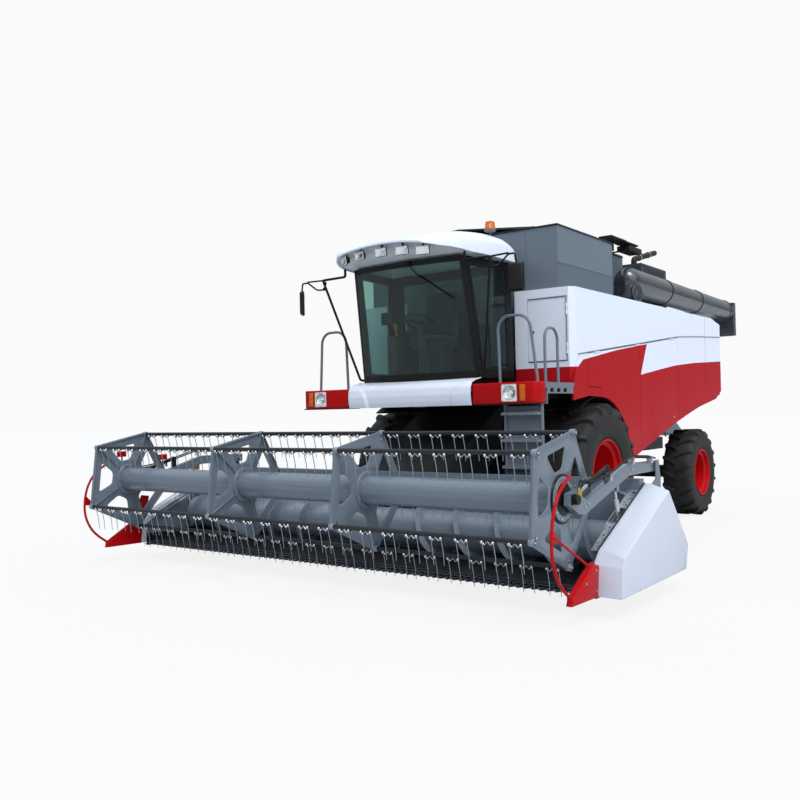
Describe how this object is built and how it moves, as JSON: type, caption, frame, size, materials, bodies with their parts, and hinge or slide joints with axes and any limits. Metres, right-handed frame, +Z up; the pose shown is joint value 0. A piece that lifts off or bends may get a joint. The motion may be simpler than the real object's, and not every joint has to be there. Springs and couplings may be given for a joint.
{
  "type": "combine harvester",
  "caption": "Combine harvester with a wide reel header, glazed cab, grain tank with covers, gull-wing side doors and a swinging unloading tube on lugged wheels.",
  "frame": {"origin": "on the ground under the middle of the front axle, the point that the stand mount marks", "axes": "the machine faces -Y with its length along Y, +Z is up and +X is its own left, the side of the ladder and the unloading tube"},
  "size_m": [6.5353, 10.4391, 4.3775],
  "materials": {
    "red_paint": "gloss",
    "white_paint": "gloss",
    "header_paint": "satin",
    "grey_paint": "satin",
    "dark_paint": "satin",
    "steel": "worn",
    "rim_paint": "satin",
    "tyre": "matte",
    "glass": "clear",
    "black_plastic": "matte",
    "lamp": "clear",
    "seat_fabric": "matte"
  },
  "bodies": {
    "chassis": {"chassis_frame": "dark_paint", "threshing_body": "grey_paint", "front_axle": "dark_paint", "rear_axle": "dark_paint", "grain_tank": "white_paint", "engine_block": "dark_paint", "side_shell_left": "white_paint", "side_shell_right": "white_paint", "engine_deck": "white_paint", "engine_hood": "white_paint", "exhaust": "dark_paint", "rear_hood": "white_paint", "straw_chopper": "grey_paint", "auger_foot": "grey_paint", "cab_frame": "black_plastic", "cab_glass": "glass", "cab_roof": "white_paint", "front_fascia": "red_paint", "lamps": "lamp", "driver_place": "seat_fabric", "platform": "grey_paint", "handrails": "black_plastic", "mirrors": "black_plastic"},
    "front_wheel_left": {"tyre_front_left": "tyre", "wheel_front_left": "rim_paint"},
    "front_wheel_right": {"tyre_front_right": "tyre", "wheel_front_right": "rim_paint"},
    "steer_left": {"knuckle_left": "dark_paint"},
    "steer_right": {"knuckle_right": "dark_paint"},
    "rear_wheel_left": {"tyre_rear_left": "tyre", "wheel_rear_left": "rim_paint"},
    "rear_wheel_right": {"tyre_rear_right": "tyre", "wheel_rear_right": "rim_paint"},
    "feeder": {"feeder_house": "red_paint", "header_frame": "header_paint", "cutter_bar": "steel", "shrouds": "white_paint", "dividers": "red_paint"},
    "reel_arms": {"reel_arms": "header_paint"},
    "reel": {"reel": "header_paint"},
    "header_auger": {"header_auger": "header_paint"},
    "lift_barrels": {"lift_barrels": "dark_paint"},
    "lift_rams": {"lift_rams": "steel"},
    "reel_barrels": {"reel_barrels": "dark_paint"},
    "reel_rams": {"reel_rams": "steel"},
    "unloader": {"unloading_auger": "white_paint"},
    "cab_door": {"cab_door_frame": "black_plastic", "cab_door_glass": "glass"},
    "service_door": {"service_door": "white_paint"},
    "side_door_left": {"side_door_left": "red_paint"},
    "side_door_right": {"side_door_right": "red_paint"},
    "tank_cover_left": {"tank_cover_left": "white_paint"},
    "tank_cover_right": {"tank_cover_right": "white_paint"},
    "ladder": {"ladder": "grey_paint"},
    "reel_bar_1": {"reel_bar_1": "black_plastic"},
    "reel_bar_2": {"reel_bar_2": "black_plastic"},
    "reel_bar_3": {"reel_bar_3": "black_plastic"},
    "reel_bar_4": {"reel_bar_4": "black_plastic"},
    "reel_bar_5": {"reel_bar_5": "black_plastic"}
  },
  "joints": [
    {"name": "front_wheel_left_spin", "type": "hinge", "parent": "chassis", "child": "front_wheel_left", "pos_m": [1.375, 0, 0.92], "axis": [1, 0, 0], "continuous": true},
    {"name": "front_wheel_right_spin", "type": "hinge", "parent": "chassis", "child": "front_wheel_right", "pos_m": [-1.375, 0, 0.92], "axis": [1, 0, 0], "continuous": true},
    {"name": "steer_left", "type": "hinge", "parent": "chassis", "child": "steer_left", "pos_m": [1.14, 3.82, 0.7], "axis": [0, 0, 1], "range_deg": [-28, 28]},
    {"name": "rear_wheel_left_spin", "type": "hinge", "parent": "steer_left", "child": "rear_wheel_left", "pos_m": [1.49, 3.82, 0.7], "axis": [1, 0, 0], "continuous": true},
    {"name": "steer_right", "type": "hinge", "parent": "chassis", "child": "steer_right", "pos_m": [-1.14, 3.82, 0.7], "axis": [0, 0, 1], "range_deg": [-28, 28]},
    {"name": "rear_wheel_right_spin", "type": "hinge", "parent": "steer_right", "child": "rear_wheel_right", "pos_m": [-1.49, 3.82, 0.7], "axis": [1, 0, 0], "continuous": true},
    {"name": "feeder_lift", "type": "hinge", "parent": "chassis", "child": "feeder", "pos_m": [0, -0.62, 1.62], "axis": [-1, 0, 0], "range_deg": [0, 20]},
    {"name": "reel_lift", "type": "hinge", "parent": "feeder", "child": "reel_arms", "pos_m": [0, -1.95, 1.19], "axis": [-1, 0, 0], "range_deg": [0, 15]},
    {"name": "reel_turn", "type": "hinge", "parent": "reel_arms", "child": "reel", "pos_m": [0, -3.82, 1.03], "axis": [1, 0, 0], "continuous": true},
    {"name": "reel_bar_1_turn", "type": "hinge", "parent": "reel", "child": "reel_bar_1", "pos_m": [0, -4.34324, 0.73637], "axis": [1, 0, 0], "continuous": true},
    {"name": "reel_bar_2_turn", "type": "hinge", "parent": "reel", "child": "reel_bar_2", "pos_m": [0, -4.26095, 1.4369], "axis": [1, 0, 0], "continuous": true},
    {"name": "reel_bar_3_turn", "type": "hinge", "parent": "reel", "child": "reel_bar_3", "pos_m": [0, -3.56928, 1.5751], "axis": [1, 0, 0], "continuous": true},
    {"name": "reel_bar_4_turn", "type": "hinge", "parent": "reel", "child": "reel_bar_4", "pos_m": [0, -3.2241, 0.96], "axis": [1, 0, 0], "continuous": true},
    {"name": "reel_bar_5_turn", "type": "hinge", "parent": "reel", "child": "reel_bar_5", "pos_m": [0, -3.70243, 0.44163], "axis": [1, 0, 0], "continuous": true},
    {"name": "header_auger_turn", "type": "hinge", "parent": "feeder", "child": "header_auger", "pos_m": [0, -2.72, 0.52], "axis": [1, 0, 0], "continuous": true},
    {"name": "lift_barrels_swing", "type": "hinge", "parent": "chassis", "child": "lift_barrels", "pos_m": [0.43, -0.215, 0.86], "axis": [-1, 0, 0], "range_deg": [-0.5, 14.98]},
    {"name": "lift_rams_slide", "type": "slide", "parent": "lift_barrels", "child": "lift_rams", "axis": [0, -0.996, -0.0899], "range_m": [-0.002, 0.2637]},
    {"name": "reel_barrels_swing", "type": "hinge", "parent": "feeder", "child": "reel_barrels", "pos_m": [3.022, -2.79, 0.6], "axis": [-1, 0, 0], "range_deg": [-0.5, 4.94]},
    {"name": "reel_rams_slide", "type": "slide", "parent": "reel_barrels", "child": "reel_rams", "axis": [0, -0.2265, 0.974], "range_m": [-0.002, 0.25]},
    {"name": "unloader_swing", "type": "hinge", "parent": "chassis", "child": "unloader", "pos_m": [1.42, 1.56, 3.6], "axis": [0, 0, -1], "range_deg": [0, 95]},
    {"name": "cab_door_swing", "type": "hinge", "parent": "chassis", "child": "cab_door", "pos_m": [0.87101, -1.61101, 2.251], "axis": [0.0359, 0.1659, -0.9855], "range_deg": [0, 80]},
    {"name": "service_door_swing", "type": "hinge", "parent": "chassis", "child": "service_door", "pos_m": [1.564, -0.77, 2.366], "axis": [0, 0, 1], "range_deg": [0, 85]},
    {"name": "side_door_left_lift", "type": "hinge", "parent": "chassis", "child": "side_door_left", "pos_m": [1.65, -0.372, 2.46292], "axis": [0, -0.9935, -0.1137], "range_deg": [0, 70]},
    {"name": "side_door_right_lift", "type": "hinge", "parent": "chassis", "child": "side_door_right", "pos_m": [-1.65, -0.372, 2.46292], "axis": [0, 0.9935, 0.1137], "range_deg": [0, 70]},
    {"name": "tank_cover_left_lift", "type": "hinge", "parent": "chassis", "child": "tank_cover_left", "pos_m": [1.126, 0.68, 4.072], "axis": [0, 1, 0], "range_deg": [0, 95]},
    {"name": "tank_cover_right_lift", "type": "hinge", "parent": "chassis", "child": "tank_cover_right", "pos_m": [-1.446, 0.68, 4.072], "axis": [0, -1, 0], "range_deg": [0, 95]},
    {"name": "ladder_swing", "type": "hinge", "parent": "chassis", "child": "ladder", "pos_m": [1.73, -1.79, 1.84], "axis": [0, 0, -1], "range_deg": [0, 80]}
  ],
  "couplings": [
    {"joint": "steer_right", "follows": "steer_left", "ratio": 1},
    {"joint": "lift_barrels_swing", "follows": "feeder_lift", "ratio": 0.69921},
    {"joint": "lift_rams_slide", "follows": "feeder_lift", "m_per_rad": 0.74389},
    {"joint": "reel_barrels_swing", "follows": "reel_lift", "ratio": 0.26248},
    {"joint": "reel_rams_slide", "follows": "reel_lift", "m_per_rad": 0.93974},
    {"joint": "reel_bar_1_turn", "follows": "reel_turn", "ratio": -1},
    {"joint": "reel_bar_2_turn", "follows": "reel_turn", "ratio": -1},
    {"joint": "reel_bar_3_turn", "follows": "reel_turn", "ratio": -1},
    {"joint": "reel_bar_4_turn", "follows": "reel_turn", "ratio": -1},
    {"joint": "reel_bar_5_turn", "follows": "reel_turn", "ratio": -1}
  ]
}
